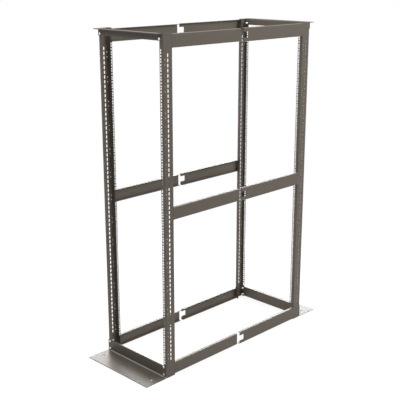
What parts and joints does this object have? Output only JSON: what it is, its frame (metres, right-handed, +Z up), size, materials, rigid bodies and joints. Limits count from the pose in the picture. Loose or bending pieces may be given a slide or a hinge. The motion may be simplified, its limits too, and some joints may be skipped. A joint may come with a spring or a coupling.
{
  "type": "four-post open frame rack",
  "caption": "Open frame equipment rack of punched channel posts with top angles, wide floor angles and split side rails.",
  "frame": {"origin": "floor level, at the middle of the rack's width and depth", "axes": "+Z up, +X towards the right-hand posts, +Y from the front frame to the rear frame"},
  "size_m": [0.5052, 1.47, 1.87],
  "materials": {
    "frame_coat": "semi-gloss dark grey powder coat"
  },
  "bodies": {
    "root": {"front_right_post": "frame_coat", "front_left_post": "frame_coat", "rear_right_post": "frame_coat", "rear_left_post": "frame_coat", "front_top_angle": "frame_coat", "rear_top_angle": "frame_coat", "front_base_angle": "frame_coat", "rear_base_angle": "frame_coat", "right_bottom_rail_front": "frame_coat", "right_bottom_rail_rear": "frame_coat", "right_middle_rail_front": "frame_coat", "right_middle_rail_rear": "frame_coat", "right_top_rail_front": "frame_coat", "right_top_rail_rear": "frame_coat", "left_bottom_rail_front": "frame_coat", "left_bottom_rail_rear": "frame_coat", "left_middle_rail_front": "frame_coat", "left_middle_rail_rear": "frame_coat", "left_top_rail_front": "frame_coat", "left_top_rail_rear": "frame_coat"}
  },
  "joints": []
}
